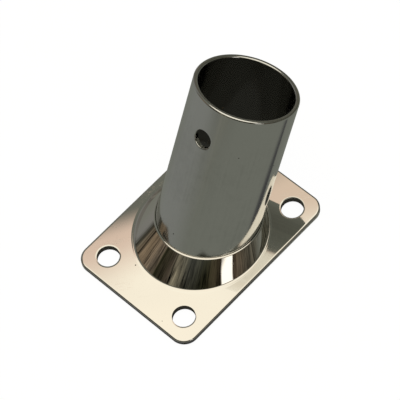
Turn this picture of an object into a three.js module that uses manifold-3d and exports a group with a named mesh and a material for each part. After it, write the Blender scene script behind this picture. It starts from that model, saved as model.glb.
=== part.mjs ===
// Inclined stanchion base for a boat deck: a pressed stainless plate whose raised neck holds a
// leaning socket tube, welded from underneath. Millimetres, +Z up, the tube leans towards +X.
// The origin is on the underside of the plate, under the middle of the whole fitting.

import * as THREE from 'three';
import { mergeVertices } from 'three/addons/utils/BufferGeometryUtils.js';
import Module from 'manifold-3d';

const wasm = await Module();
wasm.setup();

// ---- Driving dimensions ------------------------------------------------------------------

// Socket tube. Its length is measured along its axis from the top of the plate
const TUBE_DIAMETER = 28;
const TUBE_WALL = 1.25;
const TUBE_LENGTH = 48.2;
const TUBE_LEAN = THREE.MathUtils.degToRad(26.1);
const TUBE_RIM_ROUND = 0.5;
const TUBE_END_RECESS = 1.6;

// Raised neck: how far its foot stands out from the tube on the plate's top face, behind the
// lean, ahead of it and at the sides, and where its top edge meets the tube
const NECK_FLARE_BEHIND = 4.46;
const NECK_FLARE_AHEAD = 1.46;
const NECK_FLARE_SIDE = 3.6;
const NECK_HEIGHT = 4.6;
const NECK_TOP_SLOPE = THREE.MathUtils.degToRad(7.8);
const NECK_FOOT_FILLET = 1.0;
const NECK_FOOT_WALL = 1.4;
const NECK_LIP = 0.35;
const NECK_LAND = 1.8;

// Plate: the flat left round the neck's foot, and how far the foot stands ahead of its middle
const PLATE_END_MARGIN = 9.35;
const PLATE_SIDE_MARGIN = 2.8;
const PLATE_THICKNESS = 2.0;
const PLATE_CORNER_RADIUS = 4.2;
const PLATE_EDGE_ROUND = 0.6;
const FOOT_AHEAD = 0.4;

// Screw holes, one in each corner, for M6 deck screws
const SCREW_HOLE_DIAMETER = 6.2;
const SCREW_EDGE_DISTANCE = 6.5;

// Cross hole through the tube wall, on the side away from the lean
const CROSS_HOLE_DIAMETER = 5.2;
const CROSS_HOLE_BELOW_RIM = 10.7;

// Root weld
const WELD_RECESS = 0.35;

// Clearance between neighbouring pieces
const SEAM_GAP = 0.3;

// Roundness of curved faces
const SIDES = 48;
const EDGE_STEPS = 4;

// ---- Sizes that follow from the driving dimensions ---------------------------------------

const tubeRadius = TUBE_DIAMETER / 2;
const boreRadius = tubeRadius - TUBE_WALL;
const socketRadius = tubeRadius + SEAM_GAP;
const lipRadius = socketRadius + NECK_LIP;

const tubeHalfSpan = tubeRadius / Math.cos(TUBE_LEAN);
const footLength = 2 * tubeHalfSpan + NECK_FLARE_BEHIND + NECK_FLARE_AHEAD;
const footWidth = TUBE_DIAMETER + 2 * NECK_FLARE_SIDE;
const tubeAhead = FOOT_AHEAD + (NECK_FLARE_BEHIND - NECK_FLARE_AHEAD) / 2;

const plateLength = footLength + 2 * PLATE_END_MARGIN;
const plateWidth = footWidth + 2 * PLATE_SIDE_MARGIN;

const up = new THREE.Vector3(0, 0, 1);
const tubeAxis = new THREE.Vector3(Math.sin(TUBE_LEAN), 0, Math.cos(TUBE_LEAN));
const tubeFoot = new THREE.Vector3(tubeAhead, 0, PLATE_THICKNESS);
const neckTop = tubeFoot.clone().addScaledVector(tubeAxis, NECK_HEIGHT / tubeAxis.z);
const neckNormal = new THREE.Vector3(Math.sin(NECK_TOP_SLOPE), 0, Math.cos(NECK_TOP_SLOPE));

// Longer than anything in the fitting, for tools that cut right through it
const CLEAR = 4 * Math.max(plateLength, plateWidth, TUBE_LENGTH);

// ---- Solids ------------------------------------------------------------------------------

// A closed geometry as a manifold solid
function solid(geometry) {
  const bare = geometry.clone();
  bare.deleteAttribute('normal');
  bare.deleteAttribute('uv');
  const merged = mergeVertices(bare, 1e-5);
  return new wasm.Manifold(new wasm.Mesh({
    numProp: 3,
    vertProperties: new Float32Array(merged.attributes.position.array),
    triVerts: new Uint32Array(merged.index.array),
  }));
}

// A manifold solid as a geometry that can be drawn
function drawn(body) {
  const mesh = body.getMesh();
  const geometry = new THREE.BufferGeometry();
  geometry.setAttribute('position', new THREE.BufferAttribute(mesh.vertProperties, 3));
  geometry.setIndex(new THREE.BufferAttribute(mesh.triVerts, 1));
  geometry.computeVertexNormals();
  return geometry;
}

// Turns a geometry whose own axis is +Y so that the axis runs along a direction from a point
function alongAxis(geometry, direction, origin) {
  const turn = new THREE.Quaternion().setFromUnitVectors(new THREE.Vector3(0, 1, 0), direction);
  geometry.applyQuaternion(turn);
  return geometry.translate(origin.x, origin.y, origin.z);
}

// A rod centred on a point, for holes and bores
function rod(radius, length, direction, centre) {
  return solid(alongAxis(new THREE.CylinderGeometry(radius, radius, length, SIDES), direction, centre));
}

// Everything on the far side of a plane
function beyond(point, normal) {
  const block = new THREE.BoxGeometry(CLEAR, CLEAR, CLEAR).translate(0, CLEAR / 2, 0);
  return solid(alongAxis(block, normal, point));
}

// The ellipse in which a cylinder about the tube's axis meets the plane of the neck's top edge,
// lowered by a distance: its centre and its two half axes
function neckEllipse(radius, lowered) {
  const centre = neckTop.clone().addScaledVector(tubeAxis, -lowered / tubeAxis.dot(neckNormal));
  const across = new THREE.Vector3(neckNormal.z, 0, -neckNormal.x);
  return {
    centre,
    along: across.multiplyScalar(radius / tubeAxis.dot(neckNormal)),
    side: new THREE.Vector3(0, radius, 0),
  };
}

// A level ellipse under the neck
function footEllipse(length, width, height) {
  return {
    centre: new THREE.Vector3(FOOT_AHEAD, 0, height),
    along: new THREE.Vector3(length / 2, 0, 0),
    side: new THREE.Vector3(0, width / 2, 0),
  };
}

function ellipsePoint(ellipse, u, v) {
  return ellipse.centre.clone().addScaledVector(ellipse.along, u).addScaledVector(ellipse.side, v);
}

// A lathed unit profile (radius share, height share) stretched between two ellipses
function loft(profile, low, high) {
  const geometry = new THREE.LatheGeometry(profile, SIDES);
  const position = geometry.attributes.position;
  for (let i = 0; i < position.count; i += 1) {
    const share = position.getY(i);
    const u = position.getX(i);
    const v = -position.getZ(i);
    const point = ellipsePoint(low, u, v).lerp(ellipsePoint(high, u, v), share);
    position.setXYZ(i, point.x, point.y, point.z);
  }
  return solid(geometry);
}

// ---- Pieces ------------------------------------------------------------------------------

// Flat sheet with rounded corners and rounded edges
function plateBlank() {
  const x = plateLength / 2;
  const y = plateWidth / 2;
  const r = PLATE_CORNER_RADIUS;
  const outline = new THREE.Shape();
  outline.moveTo(x, y - r);
  outline.absarc(x - r, y - r, r, 0, Math.PI / 2);
  outline.absarc(-x + r, y - r, r, Math.PI / 2, Math.PI);
  outline.absarc(-x + r, -y + r, r, Math.PI, 1.5 * Math.PI);
  outline.absarc(x - r, -y + r, r, 1.5 * Math.PI, 2 * Math.PI);
  const geometry = new THREE.ExtrudeGeometry(outline, {
    depth: PLATE_THICKNESS - 2 * PLATE_EDGE_ROUND,
    curveSegments: 8,
    bevelThickness: PLATE_EDGE_ROUND,
    bevelSize: PLATE_EDGE_ROUND,
    bevelOffset: -PLATE_EDGE_ROUND,
    bevelSegments: EDGE_STEPS,
  });
  return solid(geometry.translate(0, 0, PLATE_EDGE_ROUND));
}

// Outside of the raised neck: a skewed cone with a fillet round its foot
function neckOutside() {
  const foot = footEllipse(footLength, footWidth, PLATE_THICKNESS);
  const lip = neckEllipse(lipRadius, 0);
  const buried = -PLATE_THICKNESS / (4 * NECK_HEIGHT);
  const fillet = NECK_FOOT_FILLET / (footLength / 2);
  const rise = NECK_FOOT_FILLET / NECK_HEIGHT;
  const profile = [new THREE.Vector2(0, buried), new THREE.Vector2(1 + fillet, buried)];
  for (let step = 0; step <= EDGE_STEPS; step += 1) {
    const turn = (step / EDGE_STEPS) * Math.PI / 2;
    profile.push(new THREE.Vector2(1 + fillet * (1 - Math.sin(turn)), rise * (1 - Math.cos(turn))));
  }
  profile.push(new THREE.Vector2(1, 1), new THREE.Vector2(0, 1));
  return loft(profile, foot, lip);
}

// Space under the neck, drawn in by a margin all round
function neckHollow(margin) {
  const low = footEllipse(
    footLength - 2 * (NECK_FOOT_WALL + margin),
    footWidth - 2 * (NECK_FOOT_WALL + margin),
    0,
  );
  const high = neckEllipse(socketRadius - margin, NECK_LAND);
  const belowDeckFace = -PLATE_THICKNESS / (2 * NECK_HEIGHT);
  const profile = [
    new THREE.Vector2(0, belowDeckFace),
    new THREE.Vector2(1, belowDeckFace),
    new THREE.Vector2(1, 1),
    new THREE.Vector2(0, 1),
  ];
  return loft(profile, low, high);
}

function flangePlate() {
  let body = plateBlank().add(neckOutside());
  body = body.subtract(neckHollow(0));
  body = body.subtract(rod(socketRadius, CLEAR, tubeAxis, tubeFoot));
  const screwX = plateLength / 2 - SCREW_EDGE_DISTANCE;
  const screwY = plateWidth / 2 - SCREW_EDGE_DISTANCE;
  for (const x of [-screwX, screwX]) {
    for (const y of [-screwY, screwY]) {
      body = body.subtract(rod(SCREW_HOLE_DIAMETER / 2, CLEAR, up, new THREE.Vector3(x, y, 0)));
    }
  }
  return body;
}

function socketTube() {
  const tuck = PLATE_THICKNESS + tubeRadius;
  const profile = [new THREE.Vector2(boreRadius, -tuck), new THREE.Vector2(tubeRadius, -tuck)];
  const arc = (centre, from, to) => {
    for (let step = 0; step <= EDGE_STEPS; step += 1) {
      const turn = THREE.MathUtils.lerp(from, to, step / EDGE_STEPS);
      profile.push(new THREE.Vector2(
        centre + TUBE_RIM_ROUND * Math.cos(turn),
        TUBE_LENGTH - TUBE_RIM_ROUND + TUBE_RIM_ROUND * Math.sin(turn),
      ));
    }
  };
  arc(tubeRadius - TUBE_RIM_ROUND, 0, Math.PI / 2);
  arc(boreRadius + TUBE_RIM_ROUND, Math.PI / 2, Math.PI);
  profile.push(profile[0].clone());
  const lathe = new THREE.LatheGeometry(profile, SIDES);
  let body = solid(alongAxis(lathe, tubeAxis, tubeFoot));
  const end = new THREE.Vector3(0, 0, TUBE_END_RECESS);
  body = body.subtract(beyond(end, up.clone().negate()));
  return body.subtract(crossHole());
}

// The cross hole goes through one wall only, so its cutter stops on the tube's axis
function crossHole() {
  const outward = new THREE.Vector3(-tubeAxis.z, 0, tubeAxis.x);
  const centre = tubeFoot.clone().addScaledVector(tubeAxis, TUBE_LENGTH - CROSS_HOLE_BELOW_RIM);
  centre.addScaledVector(outward, tubeRadius);
  return rod(CROSS_HOLE_DIAMETER / 2, 2 * tubeRadius, outward, centre);
}

// Bead that closes the space between the tube's lower end and the plate, clear of the deck
function rootWeld() {
  const top = new THREE.Vector3(0, 0, TUBE_END_RECESS - SEAM_GAP);
  const bottom = new THREE.Vector3(0, 0, WELD_RECESS);
  let body = neckHollow(SEAM_GAP);
  body = body.subtract(beyond(top, up));
  body = body.subtract(beyond(bottom, up.clone().negate()));
  return body.subtract(rod(boreRadius, CLEAR, tubeAxis, tubeFoot));
}

// ---- Assembly ----------------------------------------------------------------------------

const polished = { color: 0xd9d6cc, roughness: 0.12, metalness: 1 };
const brushed = { color: 0xa9a8a0, roughness: 0.22, metalness: 1 };
const welded = { color: 0x8f8b82, roughness: 0.5, metalness: 1 };

const fitting = new THREE.Group();

function place(name, body, finish) {
  const mesh = new THREE.Mesh(drawn(body), new THREE.MeshStandardMaterial(finish));
  mesh.name = name;
  fitting.add(mesh);
}

place('flange_plate', flangePlate(), polished);
place('socket_tube', socketTube(), brushed);
place('root_weld', rootWeld(), welded);

// Bring the middle of the fitting's footprint over the origin
const footprint = new THREE.Box3().setFromObject(fitting);
fitting.position.x = -(footprint.min.x + footprint.max.x) / 2;
fitting.updateMatrixWorld(true);

export default fitting;
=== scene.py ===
"""Inclined stanchion base in polished stainless steel, laid out as a Blender add-on and run as a
script. The CAD frame gives every place; lengths inside the mesh code are in millimetres and each
finished mesh is scaled to metres."""

import math

import bmesh
import bpy
from bpy.props import FloatProperty, FloatVectorProperty, IntProperty, PointerProperty
from mathutils import Matrix, Quaternion, Vector


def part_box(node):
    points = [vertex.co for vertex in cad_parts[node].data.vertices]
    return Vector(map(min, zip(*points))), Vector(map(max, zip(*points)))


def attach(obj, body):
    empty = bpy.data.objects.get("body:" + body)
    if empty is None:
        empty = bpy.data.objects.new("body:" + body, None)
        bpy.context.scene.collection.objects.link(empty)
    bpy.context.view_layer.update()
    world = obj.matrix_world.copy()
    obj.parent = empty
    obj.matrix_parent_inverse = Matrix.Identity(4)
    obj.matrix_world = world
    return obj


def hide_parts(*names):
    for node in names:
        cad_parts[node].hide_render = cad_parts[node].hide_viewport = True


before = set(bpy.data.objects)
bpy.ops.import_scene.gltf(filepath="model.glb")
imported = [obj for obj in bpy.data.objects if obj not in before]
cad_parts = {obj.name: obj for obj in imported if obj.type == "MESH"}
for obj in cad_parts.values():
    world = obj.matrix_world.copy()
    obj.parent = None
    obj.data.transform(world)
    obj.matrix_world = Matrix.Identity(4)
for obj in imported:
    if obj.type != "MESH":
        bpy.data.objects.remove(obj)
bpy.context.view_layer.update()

bl_info = {
    "name": "Inclined stanchion base",
    "version": (1, 0, 0),
    "blender": (4, 5, 0),
    "location": "View3D > Sidebar > Stanchion",
    "description": "Builds a welded stainless stanchion base and the studio it stands in",
    "category": "Object",
}

MM = 1000.0
PLATE_LOW, PLATE_HIGH = (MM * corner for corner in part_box("flange_plate"))
PLATE_MIDDLE_X = (PLATE_LOW.x + PLATE_HIGH.x) / 2

# Fixed numbers of the mesh code, with lengths in millimetres
ROUND_STEPS = 144
CORNER_STEPS = 14
EDGE_STEPS = 6
SCREW_HOLE_STEPS = 64
TOUCHING = 0.001
TOP_INSET = 0.15
SCREW_HOLE_MARGIN = 0.45
STEP_MARGIN = 0.25
STEP_HALF_SLOPE = 0.12
STEP_ROUND = 0.1
HOLLOW_MARGIN = 0.5
HOLLOW_ROUND = 0.3


# ---- Sizes and colours that a user would change --------------------------------------------------


def length(name, description, default):
    return FloatProperty(
        name=name, description=description, default=default, unit="LENGTH", subtype="DISTANCE", precision=5
    )


def angle(name, description, degrees):
    return FloatProperty(
        name=name, description=description, default=math.radians(degrees), unit="ROTATION", subtype="ANGLE"
    )


def colour(name, description, default):
    return FloatVectorProperty(
        name=name, description=description, default=default, subtype="COLOR", size=3, min=0, max=1
    )


class TubeSizes(bpy.types.PropertyGroup):
    diameter: length("Diameter", "Outside diameter of the socket tube", 0.028)
    wall: length("Wall", "Wall thickness of the socket tube", 0.00125)
    reach: length("Length", "Along the axis from the top of the plate", 0.0482)
    ahead: length("Ahead", "How far the axis crosses the plate's top ahead of its middle", 0.0019)
    lean: angle("Lean", "Lean of the tube from upright, towards +X", 26.1)
    rim_round: length("Rim round", "Rounding of the mouth's edges", 0.0005)
    end_recess: length("End recess", "Height of the lower end above the deck", 0.0016)
    hole_diameter: length("Cross hole", "Diameter of the cross hole", 0.0052)
    hole_below_rim: length("Hole below rim", "From the rim to the middle of the cross hole", 0.0107)
    hole_round: length("Hole round", "Rounding of the cross hole's edges", 0.0002)


class FlangeSizes(bpy.types.PropertyGroup):
    thickness: length("Thickness", "Thickness of the pressed sheet", 0.0020)
    corner_radius: length("Corner radius", "Radius of the plate's corners", 0.0042)
    edge_round: length("Edge round", "Rounding of the plate's edges", 0.00045)
    hole_diameter: length("Screw hole", "Diameter of the screw holes", 0.0062)
    hole_edge_distance: length("Hole to edge", "From a hole's middle to the plate's edges", 0.0065)
    hole_round: length("Hole round", "Rounding of the screw holes' edges", 0.00006)
    flare_behind: length("Flare behind", "Foot of the neck behind the tube", 0.00446)
    flare_ahead: length("Flare ahead", "Foot of the neck ahead of the tube", 0.00146)
    flare_side: length("Flare at the sides", "Foot of the neck beside the tube", 0.0036)
    foot_fillet: length("Foot fillet", "Fillet between the plate and its neck", 0.0004)
    step_width: length("Step width", "Pressed step round the foot of the neck", 0.0007)
    step_rise: length("Step rise", "Height of the pressed step", 0.000015)
    neck_height: length("Neck height", "Of the neck's top edge above the plate, on the axis", 0.0046)
    top_slope: angle("Top slope", "Slope of the neck's top edge", 7.8)
    lip: length("Lip", "Width of the neck's top edge", 0.0004)
    seam: length("Seam", "Fine joint between the lip and the tube", 0.00008)
    land: length("Land", "How deep the neck grips the tube", 0.0018)
    foot_wall: length("Foot wall", "Wall at the foot of the neck", 0.0014)


class WeldSizes(bpy.types.PropertyGroup):
    recess: length("Recess", "Height of the bead above the deck", 0.0004)
    ripple: length("Ripple", "Height of the bead's ripples", 0.00018)
    ripples: IntProperty(name="Ripples", description="Ripples round the bead", default=64)


class FinishColours(bpy.types.PropertyGroup):
    plate: colour("Plate", "Polished sheet", (0.80, 0.77, 0.71))
    tube: colour("Tube", "Polished tube", (0.70, 0.70, 0.67))
    weld: colour("Weld", "Ground weld metal", (0.42, 0.39, 0.35))
    heat_tint: colour("Heat tint", "Straw tint beside the weld", (0.55, 0.36, 0.17))
    grime: colour("Grime", "Polishing residue in corners and pits", (0.035, 0.028, 0.02))


class StudioSettings(bpy.types.PropertyGroup):
    azimuth: angle("Azimuth", "Direction that the camera looks in, from +X", 51.50)
    elevation: angle("Elevation", "How steeply the camera looks down", 59.32)
    roll: angle("Roll", "Turn of the camera about its line of sight", -9.96)
    aim: FloatVectorProperty(
        name="Aim",
        description="Point in the middle of the picture",
        default=(-0.00221, -0.00022, 0.01719),
        unit="LENGTH",
    )
    distance: length("Distance", "From the camera to its aim", 0.5511)
    lens: FloatProperty(name="Lens", description="Focal length in mm on a 36 mm sensor", default=189.3)
    skylight_radius: angle("Skylight radius", "Half-angle of the soft skylight overhead", 35.15)
    skylight_tilt: angle("Skylight tilt", "How far the skylight's middle is from straight up", 5.5)
    skylight_side: angle("Skylight side", "Azimuth that the skylight leans towards", -90)
    floor_glow: FloatProperty(name="Floor glow", description="Brightness of the pale floor", default=0.96)


SETTINGS = {
    "stanchion_tube": TubeSizes,
    "stanchion_flange": FlangeSizes,
    "stanchion_weld": WeldSizes,
    "stanchion_finish": FinishColours,
    "stanchion_studio": StudioSettings,
}


# ---- Shared geometry: the tube's axis, the neck's ellipses ---------------------------------------


class Layout:
    """Places that more than one piece needs, in millimetres, worked out from the settings."""

    def __init__(self, scene):
        self.tube = scene.stanchion_tube
        self.flange = scene.stanchion_flange
        self.weld = scene.stanchion_weld
        self.thickness = MM * self.flange.thickness
        self.tube_radius = MM * self.tube.diameter / 2
        self.bore_radius = self.tube_radius - MM * self.tube.wall
        lean, slope = self.tube.lean, self.flange.top_slope
        self.axis = Vector((math.sin(lean), 0, math.cos(lean)))
        self.top_normal = Vector((math.sin(slope), 0, math.cos(slope)))
        self.tube_foot = Vector((PLATE_MIDDLE_X + MM * self.tube.ahead, 0, self.thickness))
        half_span = self.tube_radius / math.cos(lean)
        behind, ahead = MM * self.flange.flare_behind, MM * self.flange.flare_ahead
        self.foot_x = self.tube_foot.x + (ahead - behind) / 2
        self.foot_half_length = half_span + (behind + ahead) / 2
        self.foot_half_width = self.tube_radius + MM * self.flange.flare_side
        self.neck_top = self.tube_foot + self.axis * (MM * self.flange.neck_height / self.axis.z)

    def tube_place(self):
        """Turns a shape along +Z into the tube's own place."""
        return Matrix.Translation(self.tube_foot) @ Matrix.Rotation(self.tube.lean, 4, "Y")

    def foot_ring(self, grown, height):
        """Level ellipse round the foot of the neck."""
        return ring_matrix(
            Vector((self.foot_x, 0, height)),
            Vector((self.foot_half_length + grown, 0, 0)),
            Vector((0, self.foot_half_width + grown, 0)),
        )

    def neck_ring(self, radius, lowered=0.0):
        """Where a cylinder about the tube's axis meets the plane of the neck's top edge."""
        steep = self.axis.dot(self.top_normal)
        along = Vector((self.top_normal.z, 0, -self.top_normal.x)) * (radius / steep)
        centre = self.neck_top - self.axis * (lowered / steep)
        return ring_matrix(centre, along, Vector((0, radius, 0)))

    def level_cut(self, radius, height):
        """Where a cylinder about the tube's axis meets a level plane."""
        centre = self.tube_foot + self.axis * ((height - self.tube_foot.z) / self.axis.z)
        return ring_matrix(centre, Vector((radius / self.axis.z, 0, 0)), Vector((0, radius, 0)))


def ring_matrix(centre, along, side):
    """The transform that takes the unit circle to an ellipse."""
    matrix = Matrix.Identity(4)
    columns = (along, side, along.cross(side).normalized(), centre)
    for column, vector in enumerate(columns):
        matrix[0][column], matrix[1][column], matrix[2][column] = vector
    return matrix


def circle(radius, x, y, height):
    return ring_matrix(Vector((x, y, height)), Vector((radius, 0, 0)), Vector((0, radius, 0)))


class RingSkin:
    """A skin that grows ring by ring: each ring is extruded from the last and transformed."""

    def __init__(self, bm, first, steps=ROUND_STEPS):
        self.bm = bm
        made = bmesh.ops.create_circle(bm, cap_ends=False, segments=steps, radius=1.0)
        bmesh.ops.transform(bm, matrix=first, verts=made["verts"])
        self.place = first
        edges = [edge for vert in made["verts"] for edge in vert.link_edges]
        self.rings = [list(dict.fromkeys(edges))]

    def add(self, matrix):
        made = bmesh.ops.extrude_edge_only(self.bm, edges=self.rings[-1])["geom"]
        verts = [item for item in made if isinstance(item, bmesh.types.BMVert)]
        bmesh.ops.transform(self.bm, matrix=matrix @ self.place.inverted(), verts=verts)
        new = set(verts)
        self.rings.append(
            [item for item in made if isinstance(item, bmesh.types.BMEdge) and new.issuperset(item.verts)]
        )
        self.place = matrix
        return self

    def close(self):
        """Joins the last ring to the first."""
        bmesh.ops.bridge_loops(self.bm, edges=self.rings[0] + self.rings[-1])


def round_edges(bm, edges, radius, segments):
    return bmesh.ops.bevel(
        bm,
        geom=edges,
        offset=radius,
        offset_type="OFFSET",
        segments=segments,
        profile=0.5,
        affect="EDGES",
        material=-1,
        clamp_overlap=False,
    )


def is_level(edge):
    return abs(edge.verts[0].co.z - edge.verts[1].co.z) < TOUCHING


def finished_object(name, bm, material, node):
    """A bmesh in millimetres as an object at the origin that stands for its CAD node."""
    bmesh.ops.transform(bm, matrix=Matrix.Scale(1 / MM, 4), verts=bm.verts)
    bmesh.ops.recalc_face_normals(bm, faces=bm.faces)
    for face in bm.faces:
        face.smooth = True
    mesh = bpy.data.meshes.new(name)
    bm.to_mesh(mesh)
    bm.free()
    mesh.materials.append(material)
    piece = bpy.data.objects.new(name, mesh)
    bpy.context.scene.collection.objects.link(piece)
    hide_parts(node)
    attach(piece, "root")
    return piece


# ---- Pressed plate with its neck -----------------------------------------------------------------


def plate_rim(bm, layout):
    """The plate's outside, with rounded corners and edges. It leaves the top and bottom open for
    the fill."""
    sizes = layout.flange
    half = (PLATE_HIGH - PLATE_LOW) / 2
    made = bmesh.ops.create_grid(bm, x_segments=1, y_segments=1, size=1.0)
    size = Matrix.Diagonal((half.x, half.y, 1, 1))
    place = Matrix.Translation((PLATE_MIDDLE_X, 0, layout.thickness)) @ size
    bmesh.ops.transform(bm, matrix=place, verts=made["verts"])
    bmesh.ops.bevel(
        bm,
        geom=made["verts"],
        offset=MM * sizes.corner_radius,
        offset_type="OFFSET",
        segments=CORNER_STEPS,
        profile=0.5,
        affect="VERTICES",
        material=-1,
    )
    below = bmesh.ops.extrude_face_region(bm, geom=bm.faces[:], use_keep_orig=True)["geom"]
    verts = [item for item in below if isinstance(item, bmesh.types.BMVert)]
    bmesh.ops.translate(bm, vec=(0, 0, -layout.thickness), verts=verts)
    bmesh.ops.recalc_face_normals(bm, faces=bm.faces)
    rims = [edge for edge in bm.edges if is_level(edge)]
    round_edges(bm, rims, MM * sizes.edge_round, EDGE_STEPS)
    level = [face for face in bm.faces if abs(face.normal.z) > 0.999]
    level.sort(key=lambda face: face.calc_area())
    bottom, top = sorted(level[-2:], key=lambda face: face.calc_center_median().z)
    bmesh.ops.inset_individual(bm, faces=[bottom, top], thickness=TOP_INSET)
    bmesh.ops.delete(bm, geom=[top, bottom], context="FACES_ONLY")


def screw_hole(bm, layout, x, y):
    """The wall of one screw hole, with a narrow level ring at each end."""
    sizes = layout.flange
    radius = MM * sizes.hole_diameter / 2
    outer = radius + SCREW_HOLE_MARGIN
    wall = RingSkin(bm, circle(outer, x, y, layout.thickness), steps=SCREW_HOLE_STEPS)
    wall.add(circle(radius, x, y, layout.thickness)).add(circle(radius, x, y, 0))
    wall.add(circle(outer, x, y, 0))
    round_edges(bm, wall.rings[1] + wall.rings[2], MM * sizes.hole_round, 4)


def neck_skin(bm, layout):
    """From the pressed step up the outside of the neck, over its lip, down the land that grips the
    tube and out under it."""
    sizes = layout.flange
    socket = layout.tube_radius + MM * sizes.seam
    lip_width = MM * sizes.lip
    wall = MM * sizes.foot_wall
    step = MM * sizes.step_width
    raised = layout.thickness + MM * sizes.step_rise
    rings = (
        layout.foot_ring(step + STEP_HALF_SLOPE, layout.thickness),
        layout.foot_ring(step - STEP_HALF_SLOPE, raised),
        layout.foot_ring(0, raised),
        layout.neck_ring(socket + lip_width),
        layout.neck_ring(socket),
        layout.neck_ring(socket, MM * sizes.land),
        layout.foot_ring(-wall, 0),
        layout.foot_ring(HOLLOW_MARGIN - wall, 0),
    )
    skin = RingSkin(bm, layout.foot_ring(step + STEP_MARGIN, layout.thickness))
    for ring in rings:
        skin.add(ring)
    _, step_foot, step_top, neck_foot, lip_outside, lip_inside, _, hollow, _ = skin.rings
    round_edges(bm, step_foot + step_top, STEP_ROUND, 4)
    round_edges(bm, neck_foot, MM * sizes.foot_fillet, 8)
    round_edges(bm, lip_outside, 0.6 * lip_width, 4)
    round_edges(bm, lip_inside, 0.2 * lip_width, 2)
    round_edges(bm, hollow, HOLLOW_ROUND, 4)


def fill_level(bm, height):
    """Fills the flat between every open edge at one height."""
    edges = [e for e in bm.edges if e.is_boundary and all(abs(v.co.z - height) < TOUCHING for v in e.verts)]
    bmesh.ops.triangle_fill(bm, use_beauty=True, use_dissolve=False, edges=edges, normal=(0, 0, 1))


def flange_mesh(layout):
    bm = bmesh.new()
    plate_rim(bm, layout)
    inset = MM * layout.flange.hole_edge_distance
    for x in (PLATE_LOW.x + inset, PLATE_HIGH.x - inset):
        for y in (PLATE_LOW.y + inset, PLATE_HIGH.y - inset):
            screw_hole(bm, layout, x, y)
    neck_skin(bm, layout)
    fill_level(bm, layout.thickness)
    fill_level(bm, 0.0)
    return bm


# ---- Socket tube ---------------------------------------------------------------------------------


def flat_wall(bm, cell, above, below):
    """The outside of the wall as a flat grid, with height 0 at the cross hole's middle. The rows above
    it are stretched a little, to end at the rim."""
    rows_above = round(above / cell)
    rows = rows_above + round(below / cell)
    made = bmesh.ops.create_grid(bm, x_segments=ROUND_STEPS, y_segments=rows, size=0.5)
    size = Matrix.Diagonal((ROUND_STEPS * cell, rows * cell, 1, 1))
    bmesh.ops.transform(bm, matrix=size, verts=made["verts"])
    lift = (rows / 2 - rows_above) * cell
    bmesh.ops.translate(bm, vec=(0, -lift, 0), verts=bm.verts)
    stretch = above / (rows_above * cell)
    upper = [vert for vert in bm.verts if vert.co.y > 0]
    bmesh.ops.scale(bm, vec=(1, stretch, 1), verts=upper)


def cut_cross_hole(bm, cell, radius):
    """Cuts a square window round the hole and closes it in to a circle, ring by ring."""
    window = (math.ceil(radius / cell) + 1.5) * cell
    inside = [f for f in bm.faces if max(abs(c) for c in f.calc_center_median().xy) < window]
    bmesh.ops.delete(bm, geom=inside, context="FACES")
    edges = [e for e in bm.edges if e.is_boundary]
    around = [e for e in edges if max(vert.co.xy.length for vert in e.verts) < 2 * window]
    for share in (0.5, 0.55, 1.0):
        grown = bmesh.ops.extrude_edge_only(bm, edges=around)["geom"]
        fresh = {item for item in grown if isinstance(item, bmesh.types.BMVert)}
        around = [e for e in grown if isinstance(e, bmesh.types.BMEdge) and fresh.issuperset(e.verts)]
        for vert in fresh:
            vert.co = vert.co.lerp(vert.co.normalized() * radius, share)


def thicken(bm, cell, wall):
    """Adds the inside of the wall, and leaves the two ends open that meet when it is rolled up."""
    sheet = bmesh.ops.extrude_face_region(bm, geom=bm.faces[:], use_keep_orig=True)["geom"]
    inner = [item for item in sheet if isinstance(item, bmesh.types.BMVert)]
    bmesh.ops.translate(bm, vec=(0, 0, -wall), verts=inner)
    end_x = ROUND_STEPS * cell / 2
    seams = [f for f in bm.faces if all(abs(abs(v.co.x) - end_x) < TOUCHING for v in f.verts)]
    bmesh.ops.delete(bm, geom=seams, context="FACES")


def round_wall_edges(bm, cell, hole_radius, sizes):
    """Rounds both edges of the mouth and both edges of the cross hole."""
    rim_height = max(vert.co.y for vert in bm.verts)
    level = [edge for edge in bm.edges if is_level(edge)]
    rim = [e for e in level if all(rim_height - v.co.y < TOUCHING for v in e.verts)]
    rim = [e for e in rim if e.calc_length() < 1.01 * cell]
    hole = [e for e in level if all(abs(v.co.xy.length - hole_radius) < TOUCHING for v in e.verts)]
    round_edges(bm, rim, MM * sizes.rim_round, 6)
    round_edges(bm, hole, MM * sizes.hole_round, 4)


def tube_mesh(layout):
    """The wall is made as a flat sheet with the cross hole in its middle, then rolled up, leaned over
    and cut level above the deck."""
    sizes = layout.tube
    radius = layout.tube_radius
    top = MM * sizes.reach
    hole_height = top - MM * sizes.hole_below_rim
    hole_radius = MM * sizes.hole_diameter / 2
    cell = 2 * math.pi * radius / ROUND_STEPS
    bm = bmesh.new()
    flat_wall(bm, cell, top - hole_height, hole_height + 2 * radius)
    cut_cross_hole(bm, cell, hole_radius)
    thicken(bm, cell, MM * sizes.wall)
    round_wall_edges(bm, cell, hole_radius, sizes)
    for vert in bm.verts:
        turn = math.pi + vert.co.x / radius
        reach = radius + vert.co.z
        vert.co = Vector((reach * math.cos(turn), reach * math.sin(turn), vert.co.y + hole_height))
    bmesh.ops.remove_doubles(bm, verts=bm.verts, dist=TOUCHING)
    bmesh.ops.transform(bm, matrix=layout.tube_place(), verts=bm.verts)
    cut = bmesh.ops.bisect_plane(
        bm,
        geom=bm.verts[:] + bm.edges[:] + bm.faces[:],
        plane_co=(0, 0, MM * sizes.end_recess),
        plane_no=(0, 0, -1),
        clear_outer=True,
    )
    end = [item for item in cut["geom_cut"] if isinstance(item, bmesh.types.BMEdge)]
    bmesh.ops.bridge_loops(bm, edges=end)
    return bm


# ---- Root weld -----------------------------------------------------------------------------------


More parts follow.
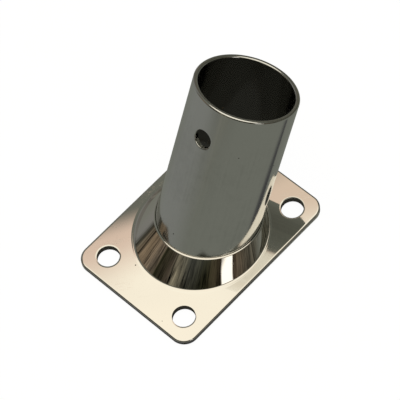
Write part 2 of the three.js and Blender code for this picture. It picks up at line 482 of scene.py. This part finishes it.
def weld_mesh(layout):
    """A rippled bead between the tube's lower end and the plate, seen from underneath."""
    low = MM * layout.weld.recess
    high = MM * layout.tube.end_recess - 0.05
    middle = (low + high) / 2
    outer = layout.foot_ring(0.1 - MM * layout.flange.foot_wall, middle)
    inner = layout.level_cut(layout.bore_radius + 0.15, middle)
    # Share of the way from the inner to the outer ellipse, and height, once round the bead
    section = (
        (0.0, middle),
        (0.12, low + 0.25),
        (0.3, low + 0.08),
        (0.5, low),
        (0.7, low + 0.08),
        (0.88, low + 0.25),
        (1.0, middle),
        (0.9, high),
        (0.5, high),
        (0.1, high),
    )
    stations = []
    for share, height in section:
        ring = inner.lerp(outer, share)
        ring[2][3] = height
        stations.append(ring)
    bm = bmesh.new()
    bead = RingSkin(bm, stations[0], steps=4 * layout.weld.ripples)
    for ring in stations[1:]:
        bead.add(ring)
    bead.close()
    centre = outer.translation
    for vert in bm.verts:
        if vert.co.z < middle - 0.01:
            turn = math.atan2(vert.co.y - centre.y, vert.co.x - centre.x)
            depth = (middle - vert.co.z) / (middle - low)
            wave = math.cos(layout.weld.ripples * turn + 1.6 * depth)
            vert.co.z += MM * layout.weld.ripple * depth * (0.5 + 0.5 * wave)
    return bm


# ---- Shader expressions --------------------------------------------------------------------------


class Socket:
    """An output socket that can be used in a Python expression. Each step adds a Math node."""

    def __init__(self, graph, socket):
        self.graph = graph
        self.socket = socket

    def _math(self, operation, first, second=0.0):
        return self.graph.node("ShaderNodeMath", {"operation": operation}, {0: first, 1: second})

    def __add__(self, other):
        return self._math("ADD", self, other)

    def __sub__(self, other):
        return self._math("SUBTRACT", self, other)

    def __rsub__(self, other):
        return self._math("SUBTRACT", other, self)

    def __mul__(self, other):
        return self._math("MULTIPLY", self, other)

    def __lt__(self, other):
        return self._math("LESS_THAN", self, other)

    def __abs__(self):
        return self._math("ABSOLUTE", self)

    __radd__ = __add__
    __rmul__ = __mul__


class Graph:
    """The node tree of one material or world."""

    def __init__(self, tree):
        self.tree = tree
        tree.nodes.clear()

    def node(self, kind, settings=None, sockets=None, output=0):
        """Adds a node: its settings first, then the values or links of its sockets."""
        made = self.tree.nodes.new(kind)
        for name, value in (settings or {}).items():
            if name == "stops":
                self._set_stops(made.color_ramp, value)
            else:
                setattr(made, name, value)
        for key, value in (sockets or {}).items():
            target = self._find(made.inputs, key)
            if isinstance(value, Socket):
                self.tree.links.new(value.socket, target)
            else:
                target.default_value = value
        if not made.outputs:
            return made
        return Socket(self, self._find(made.outputs, output))

    @staticmethod
    def _find(sockets, key):
        if isinstance(key, int):
            return sockets[key]
        for socket in sockets:
            if socket.identifier == key:
                return socket
        return sockets[key]

    @staticmethod
    def _set_stops(ramp, stops):
        while len(ramp.elements) < len(stops):
            ramp.elements.new(1.0)
        for element, (position, value) in zip(ramp.elements, stops):
            element.position = position
            element.color = value

    def place(self, turn=(0, 0, 0), scale=(1, 1, 1), origin=(0, 0, 0)):
        """Object coordinates, moved to an origin, turned, then scaled."""
        here = self.node("ShaderNodeTexCoord", output="Object")
        moved = self.node("ShaderNodeMapping", None, {"Vector": here, "Location": [-x for x in origin]})
        turned = self.node("ShaderNodeMapping", None, {"Vector": moved, "Rotation": turn})
        return self.node("ShaderNodeMapping", None, {"Vector": turned, "Scale": scale})

    def noise(self, place, scale, detail=3.0, roughness=0.5, distortion=0.0):
        inputs = {
            "Vector": place,
            "Scale": scale,
            "Detail": detail,
            "Roughness": roughness,
            "Distortion": distortion,
        }
        return self.node("ShaderNodeTexNoise", None, inputs, "Fac")

    def smooth(self, value, low, high):
        """0 below low, 1 above high, smooth between."""
        settings = {"interpolation_type": "SMOOTHSTEP"}
        return self.node("ShaderNodeMapRange", settings, {"Value": value, "From Min": low, "From Max": high})

    def mix(self, share, first, second):
        inputs = {"Factor_Float": share, "A_Color": first, "B_Color": second}
        return self.node("ShaderNodeMix", {"data_type": "RGBA"}, inputs, "Result_Color")


def rgba(value):
    return (*value, 1.0)


def metal_surface(graph, colour_in, roughness, bump):
    """Ends a material's graph in a metal that the three inputs vary."""
    inputs = {"Base Color": colour_in, "Roughness": roughness, "Metallic": 1.0, "Normal": bump}
    shader = graph.node("ShaderNodeBsdfPrincipled", None, inputs)
    graph.node("ShaderNodeOutputMaterial", None, {"Surface": shader})


def hairlines(graph, turn, across, along, fineness):
    """Sparse hairline scratches that run along one direction: 1 on a line and 0 off it."""
    field = graph.noise(graph.place(turn=turn, scale=(along, across, along)), 1.0, detail=2.0, distortion=0.3)
    line = 1 - graph.smooth(abs(field - 0.5), 0.0, fineness)
    cover = graph.noise(graph.place(turn=turn, scale=(90, 220, 90)), 1.0, detail=1.0)
    return line * graph.smooth(cover, 0.52, 0.62)


def pits(graph, scale, radius, share):
    """Sparse round pits, of which only a share of the cells has one."""
    inputs = {"Vector": graph.place(), "Scale": scale}
    far = graph.node("ShaderNodeTexVoronoi", None, inputs, "Distance")
    tint = graph.node("ShaderNodeTexVoronoi", None, inputs, "Color")
    chosen = graph.node("ShaderNodeSeparateColor", None, {"Color": tint}, "Red") < share
    return (1 - graph.smooth(far, 0.5 * radius, radius)) * chosen


def polished_steel(name, base, grime, turn, line_scale, line_depth, roughness, wear=1.0):
    """Polished stainless steel with faint smears, hairlines and pits. Its polishing lines run along
    the axis with the smallest line_scale, once turned."""
    material = bpy.data.materials.new(name)
    material.use_nodes = True
    graph = Graph(material.node_tree)
    smear = graph.noise(graph.place(), 70.0, detail=4.0, roughness=0.6)
    mottle = graph.noise(graph.place(), 420.0, detail=5.0, roughness=0.7)
    cloud = graph.noise(graph.place(origin=(0.013, 0.007, 0.0)), 28.0, detail=2.0)
    lines = graph.noise(graph.place(turn=turn, scale=line_scale), 1.0, detail=4.0, roughness=0.65)
    scratches = hairlines(graph, (0.3, 0.2, 0.7), 2600.0, 160.0, 0.012)
    scratches = scratches + hairlines(graph, (0.1, 0.5, -0.9), 2100.0, 140.0, 0.010)
    specks = pits(graph, 400.0, 0.09, 0.06)
    darker = [0.90 * c for c in base]
    worn = cloud + line_depth * (0.5 * lines + 0.6 * mottle - 0.55)
    shade = graph.mix(graph.smooth(worn, 0.35, 0.7), rgba(base), rgba(darker))
    shade = graph.mix(specks, shade, rgba(grime))
    rough = roughness * (0.7 + 0.3 * smear + 0.4 * lines) + 0.06 * wear * scratches + 0.4 * specks
    height = line_depth * lines - 0.35 * wear * scratches - 1.2 * specks
    bump = graph.node("ShaderNodeBump", None, {"Strength": 0.12, "Distance": 0.00003, "Height": height})
    metal_surface(graph, shade, rough, bump)
    return material


def weld_metal(name, base, tint):
    """Ground weld metal with straw heat tint in patches."""
    material = bpy.data.materials.new(name)
    material.use_nodes = True
    graph = Graph(material.node_tree)
    patch = graph.smooth(graph.noise(graph.place(), 160.0, detail=5.0), 0.42, 0.66)
    grain = graph.noise(graph.place(), 2400.0, detail=3.0)
    shade = graph.mix(patch, rgba(base), rgba(tint))
    bump = graph.node("ShaderNodeBump", None, {"Strength": 0.3, "Distance": 0.00008, "Height": grain})
    rough = 0.32 + 0.25 * grain
    metal_surface(graph, shade, rough, bump)
    return material


# ---- Studio --------------------------------------------------------------------------------------


def card(name, size, height, material, seen_by, middle_x=0.0):
    """A level card of the studio, which shows only to the kinds of ray that are named."""
    bm = bmesh.new()
    place = Matrix.Translation((middle_x, 0, height)) @ Matrix.Diagonal((size[0], size[1], 1, 1))
    bmesh.ops.create_grid(bm, x_segments=1, y_segments=1, size=0.5, matrix=place)
    mesh = bpy.data.meshes.new(name)
    bm.to_mesh(mesh)
    bm.free()
    mesh.materials.append(material)
    made = bpy.data.objects.new(name, mesh)
    bpy.context.scene.collection.objects.link(made)
    made.visible_camera = "camera" in seen_by
    made.visible_glossy = "glossy" in seen_by
    made.visible_diffuse = "diffuse" in seen_by
    made.visible_shadow = "shadow" in seen_by
    return made


def glowing_card(name, tone, strength, matt=0.0):
    """A material that gives off an even light. With a matt share it takes a little shadow too."""
    material = bpy.data.materials.new(name)
    material.use_nodes = True
    graph = Graph(material.node_tree)
    light = graph.node("ShaderNodeEmission", None, {"Color": rgba(tone), "Strength": strength})
    paper = graph.node("ShaderNodeBsdfDiffuse", None, {"Color": (matt, matt, matt, 1)})
    both = graph.node("ShaderNodeAddShader", None, {0: light, 1: paper})
    graph.node("ShaderNodeOutputMaterial", None, {"Surface": both})
    return material


def toward(azimuth, elevation):
    """The direction with an azimuth and elevation in degrees."""
    azimuth, elevation = math.radians(azimuth), math.radians(elevation)
    flat = math.cos(elevation)
    return Vector((flat * math.cos(azimuth), flat * math.sin(azimuth), math.sin(elevation)))


def between(graph, value, low, high, soft):
    """1 between two limits, with soft edges."""
    return graph.smooth(value, low - soft, low + soft) * (1 - graph.smooth(value, high - soft, high + soft))


CEILING = (0.165, 0.175, 0.15, 1)
WINDOW = (1.5, 1.45, 1.35, 1)
BENCH = (0.193, 0.20, 0.173, 1)
PALE_BENCH = (0.235, 0.24, 0.225, 1)
# Painted shade: the bench steeply below the object, darkened as if the object shaded it
SHADED_BENCH = (0.06, 0.06, 0.062, 1)
CREAM = (1.20, 1.15, 1.0, 1)
WARM_CREAM = (1.17, 1.08, 0.92, 1)
BLUSH = (0.90, 0.71, 0.59, 1)
ROSY_WALL = (0.90, 0.73, 0.58, 1)

# Azimuth in degrees and tone of the workshop round the bench
WORKSHOP = (
    (-180, (0.20, 0.18, 0.13)),
    (-160, (0.05, 0.05, 0.04)),
    (-135, (0.02, 0.02, 0.01)),
    (-90, (0.08, 0.06, 0.04)),
    (-50, (0.10, 0.10, 0.08)),
    (0, (0.08, 0.08, 0.06)),
    (60, (0.14, 0.13, 0.11)),
    (80, (0.22, 0.22, 0.21)),
    (105, (0.22, 0.22, 0.21)),
    (110, (0.05, 0.05, 0.04)),
    (125, (0.20, 0.15, 0.10)),
    (145, (0.15, 0.12, 0.09)),
    (150, (0.02, 0.02, 0.01)),
    (170, (0.05, 0.04, 0.03)),
    (180, (0.20, 0.18, 0.13)),
)


def workshop_tone(graph, here, azimuth, elevation, wander):
    """Streaked walls round the horizon with one small window, a plain ceiling and a grey bench, with painted
    shade on the bench steeply below.
    """
    streaked = graph.node("ShaderNodeMapping", None, {"Vector": here, "Scale": (16, 16, 3)})
    streaks = graph.noise(streaked, 1.0, detail=6.0, roughness=0.72)
    stops = [(degrees / 360 + 0.5, rgba(tone)) for degrees, tone in WORKSHOP]
    turn = (azimuth + 16 * wander) * (1 / 360) + 0.5
    room = graph.node("ShaderNodeValToRGB", {"stops": stops}, {"Fac": turn}, "Color")
    calm = between(graph, azimuth, 75, 107, 3.0)
    strong = graph.smooth(streaks, 0.28, 0.72)
    shade = 1 + (1 - calm) * (2.0 * strong - 1.1)
    walls = graph.node("ShaderNodeVectorMath", {"operation": "SCALE"}, {"Vector": room, "Scale": shade})
    tone = graph.mix(graph.smooth(elevation, 30, 50), walls, CEILING)
    window_turn = between(graph, azimuth + 6 * wander, -109.5, -94.5, 1.2)
    window = window_turn * between(graph, elevation, 8, 27, 2.5)
    tone = graph.mix(window, tone, WINDOW)
    bench = graph.mix(between(graph, azimuth, 95, 165, 25.0), BENCH, PALE_BENCH)
    # Painted shade: darkens the bench steeply below, away from azimuths -46 to 114 degrees, as if the object
    # shaded it
    bench_shade = (1 - graph.smooth(elevation, -57, -53)) * (1 - between(graph, azimuth, -46, 114, 2.0))
    bench = graph.mix(bench_shade, bench, SHADED_BENCH)
    return graph.mix(graph.smooth(elevation, -14, -2), bench, tone)


def add_skylight(graph, here, wander, studio, tone):
    """Lays the soft round skylight, which blushes towards its edge, over the room."""
    axis = toward(math.degrees(studio.skylight_side), 90 - math.degrees(studio.skylight_tilt))
    inputs = {0: here, 1: axis}
    reach = graph.node("ShaderNodeVectorMath", {"operation": "DOT_PRODUCT"}, inputs, "Value")
    off_axis = graph.node("ShaderNodeMath", {"operation": "ARCCOSINE"}, {0: reach}) * math.degrees(1)
    edge = math.degrees(studio.skylight_radius)
    cloud = graph.smooth(graph.noise(here, 9.0, detail=2.0), 0.35, 0.7)
    cream = graph.mix(cloud, CREAM, WARM_CREAM)
    skylight = graph.mix(graph.smooth(off_axis + 1.5 * wander, edge - 1.6, edge - 0.3), cream, BLUSH)
    return graph.mix(graph.smooth(off_axis, edge - 0.3, edge + 0.35), skylight, tone)


def world_light(scene):
    """A soft cream skylight overhead in a dim workshop, and a rosy patch of wall."""
    world = bpy.data.worlds.new("workshop")
    scene.world = world
    world.use_nodes = True
    graph = Graph(world.node_tree)
    here = graph.node("ShaderNodeTexCoord", output="Generated")
    parts = graph.node("ShaderNodeSeparateXYZ", None, {"Vector": here}, "X").socket.node
    x, y, z = (Socket(graph, parts.outputs[name]) for name in "XYZ")
    azimuth = graph.node("ShaderNodeMath", {"operation": "ARCTAN2"}, {0: y, 1: x}) * math.degrees(1)
    elevation = graph.node("ShaderNodeMath", {"operation": "ARCSINE"}, {0: z}) * math.degrees(1)
    wander = graph.noise(here, 6.0, detail=4.0) - 0.5

    tone = workshop_tone(graph, here, azimuth, elevation, wander)
    tone = add_skylight(graph, here, wander, scene.stanchion_studio, tone)
    rosy_wall = between(graph, azimuth, 33, 48, 3.0) * between(graph, elevation, 56, 60, 1.0)
    tone = graph.mix(rosy_wall, tone, ROSY_WALL)
    shader = graph.node("ShaderNodeBackground", None, {"Color": tone, "Strength": 1.0})
    graph.node("ShaderNodeOutputWorld", None, {"Surface": shader})


def add_studio(scene):
    studio = scene.stanchion_studio
    floor = glowing_card("pale_floor", (1, 1, 1), studio.floor_glow, matt=0.10)
    card("floor", (6.0, 6.0), -0.0004, floor, ("camera", "diffuse", "shadow"))
    # The dark gap under the plate, which only the steel mirrors
    shadow = glowing_card("shadow", (0.03, 0.03, 0.026), 1.0)
    under = (PLATE_HIGH - PLATE_LOW) / MM - Vector((0.001, 0.001, 0))
    card("shadow", under, -0.0002, shadow, ("glossy",), PLATE_MIDDLE_X / MM)
    world_light(scene)
    scene.view_settings.view_transform = "Standard"


def add_camera(scene):
    studio = scene.stanchion_studio
    look = Vector(
        (
            math.cos(studio.elevation) * math.cos(studio.azimuth),
            math.cos(studio.elevation) * math.sin(studio.azimuth),
            -math.sin(studio.elevation),
        )
    )
    data = bpy.data.cameras.new("camera")
    data.lens = studio.lens
    data.sensor_width = 36.0
    data.clip_start = 0.01
    camera = bpy.data.objects.new("camera", data)
    scene.collection.objects.link(camera)
    camera.location = Vector(studio.aim) - studio.distance * look
    camera.rotation_mode = "QUATERNION"
    camera.rotation_quaternion = look.to_track_quat("-Z", "Y") @ Quaternion((0, 0, 1), studio.roll)
    scene.camera = camera


# ---- Operators and panel -------------------------------------------------------------------------


class STANCHION_OT_flange_plate(bpy.types.Operator):
    """Build the pressed plate with its raised neck and screw holes"""

    bl_idname = "stanchion.flange_plate"
    bl_label = "Flange plate"

    def execute(self, context):
        finish = context.scene.stanchion_finish
        layout = Layout(context.scene)
        steel = polished_steel(
            "polished_plate",
            finish.plate,
            finish.grime,
            turn=(0, 0, 0.4),
            line_scale=(1500, 60, 1500),
            line_depth=0.03,
            roughness=0.02,
            wear=0.25,
        )
        finished_object("plate_skin", flange_mesh(layout), steel, "flange_plate")
        return {"FINISHED"}


class STANCHION_OT_socket_tube(bpy.types.Operator):
    """Build the leaning socket tube with its rounded mouth and cross hole"""

    bl_idname = "stanchion.socket_tube"
    bl_label = "Socket tube"

    def execute(self, context):
        finish = context.scene.stanchion_finish
        layout = Layout(context.scene)
        steel = polished_steel(
            "polished_tube",
            finish.tube,
            finish.grime,
            turn=(0, -layout.tube.lean, 0),
            line_scale=(1400, 1400, 45),
            line_depth=1.0,
            roughness=0.10,
        )
        finished_object("tube_skin", tube_mesh(layout), steel, "socket_tube")
        return {"FINISHED"}


class STANCHION_OT_root_weld(bpy.types.Operator):
    """Build the weld bead under the neck"""

    bl_idname = "stanchion.root_weld"
    bl_label = "Root weld"

    def execute(self, context):
        finish = context.scene.stanchion_finish
        layout = Layout(context.scene)
        metal = weld_metal("weld_metal", finish.weld, finish.heat_tint)
        finished_object("weld_bead", weld_mesh(layout), metal, "root_weld")
        return {"FINISHED"}


class STANCHION_OT_studio(bpy.types.Operator):
    """Set up the floor, the lights and the camera"""

    bl_idname = "stanchion.studio"
    bl_label = "Studio"

    def execute(self, context):
        add_studio(context.scene)
        add_camera(context.scene)
        return {"FINISHED"}


class STANCHION_PT_panel(bpy.types.Panel):
    bl_label = "Stanchion base"
    bl_idname = "STANCHION_PT_panel"
    bl_space_type = "VIEW_3D"
    bl_region_type = "UI"
    bl_category = "Stanchion"

    def draw(self, context):
        for operator in OPERATORS:
            self.layout.operator(operator.bl_idname)
        for name in SETTINGS:
            box = self.layout.box()
            for key in SETTINGS[name].__annotations__:
                box.prop(getattr(context.scene, name), key)


OPERATORS = (
    STANCHION_OT_studio,
    STANCHION_OT_flange_plate,
    STANCHION_OT_socket_tube,
    STANCHION_OT_root_weld,
)
CLASSES = (*SETTINGS.values(), *OPERATORS, STANCHION_PT_panel)


def register():
    for item in CLASSES:
        bpy.utils.register_class(item)
    for name, group in SETTINGS.items():
        setattr(bpy.types.Scene, name, PointerProperty(type=group))


def unregister():
    for name in SETTINGS:
        delattr(bpy.types.Scene, name)
    for item in reversed(CLASSES):
        bpy.utils.unregister_class(item)


def main():
    register()
    bpy.ops.stanchion.studio()
    bpy.ops.stanchion.flange_plate()
    bpy.ops.stanchion.socket_tube()
    bpy.ops.stanchion.root_weld()


if __name__ == "__main__":
    main()
